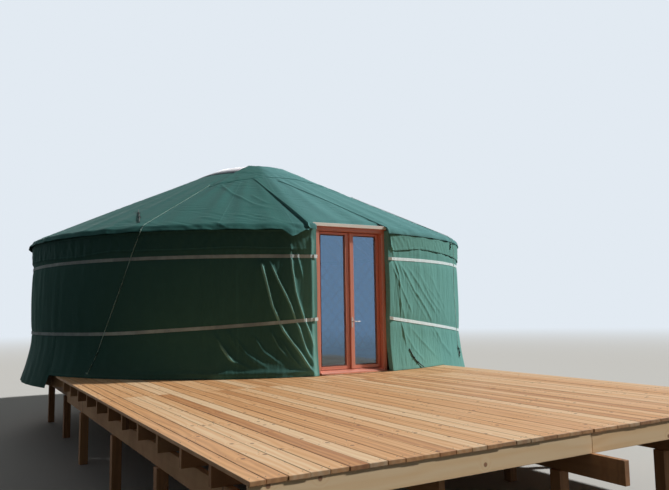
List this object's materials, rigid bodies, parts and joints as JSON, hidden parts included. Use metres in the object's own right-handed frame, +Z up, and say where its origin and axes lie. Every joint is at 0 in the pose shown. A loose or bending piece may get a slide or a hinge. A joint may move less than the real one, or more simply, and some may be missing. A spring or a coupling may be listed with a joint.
{
  "type": "canvas yurt on a timber platform with a terrace",
  "caption": "Round canvas yurt with lattice wall, poled roof and glazed double door, on a timber platform with a wide plank terrace in front.",
  "frame": {"origin": "foot of the post under the middle of the yurt, on the lowest ground", "axes": "+Z up, the door and the terrace face -Y, +X to the right seen from the terrace"},
  "size_m": [8.2875, 13.2039, 4.823],
  "materials": {
    "planks": "new sawn planks",
    "timber": "rough sawn",
    "door_wood": "red-brown stain",
    "lattice_wood": "planed",
    "metal": "satin",
    "glass": "clear",
    "clear_cap": "hazy clear",
    "roof_cloth": "canvas",
    "wall_cloth": "canvas",
    "webbing": "woven webbing",
    "rope": "twisted rope"
  },
  "bodies": {
    "building": {"platform_floor": "planks", "platform_rim": "timber", "platform_joists": "timber", "platform_bearers": "timber", "platform_posts": "timber", "terrace_boards_front": "planks", "terrace_boards_back": "planks", "terrace_joists": "timber", "terrace_bearers": "timber", "terrace_posts": "timber", "front_fascia": "planks", "door_head": "door_wood", "door_jamb_left": "door_wood", "door_jamb_right": "door_wood", "door_sill": "door_wood", "door_hinges": "metal", "lattice_right": "lattice_wood", "lattice_back_right": "lattice_wood", "lattice_back_left": "lattice_wood", "lattice_left": "lattice_wood", "roof_poles": "lattice_wood", "crown_ring": "lattice_wood", "crown_spokes": "lattice_wood", "crown_dome": "clear_cap", "crown_cover": "roof_cloth", "cover_ropes": "rope", "wall_canvas_front_left": "wall_cloth", "wall_canvas_front_right": "wall_cloth", "wall_canvas_right": "wall_cloth", "wall_canvas_back_right": "wall_cloth", "wall_canvas_back_left": "wall_cloth", "wall_canvas_left": "wall_cloth", "valance": "roof_cloth", "wall_belts": "webbing", "roof_canvas_left": "roof_cloth", "roof_canvas_door": "roof_cloth", "roof_canvas_right": "roof_cloth"},
    "left_door": {"left_leaf": "door_wood", "left_glass": "glass"},
    "right_door": {"right_leaf": "door_wood", "right_glass": "glass", "meeting_strip": "door_wood", "handle_plates": "metal"},
    "handle": {"handle_lever": "metal"}
  },
  "joints": [
    {"name": "left_door_hinge", "type": "hinge", "parent": "building", "child": "left_door", "pos_m": [-0.63, -3.726, 2], "axis": [0, 0, 1], "range_deg": [0, 100]},
    {"name": "right_door_hinge", "type": "hinge", "parent": "building", "child": "right_door", "pos_m": [0.45, -3.726, 2], "axis": [0, 0, -1], "range_deg": [0, 100]},
    {"name": "handle_turn", "type": "hinge", "parent": "right_door", "child": "handle", "pos_m": [-0.057, -3.84, 1.745], "axis": [0, 1, 0], "range_deg": [0, 45], "stiffness_Nm_per_rad": 1, "springref_deg": -34.38}
  ]
}
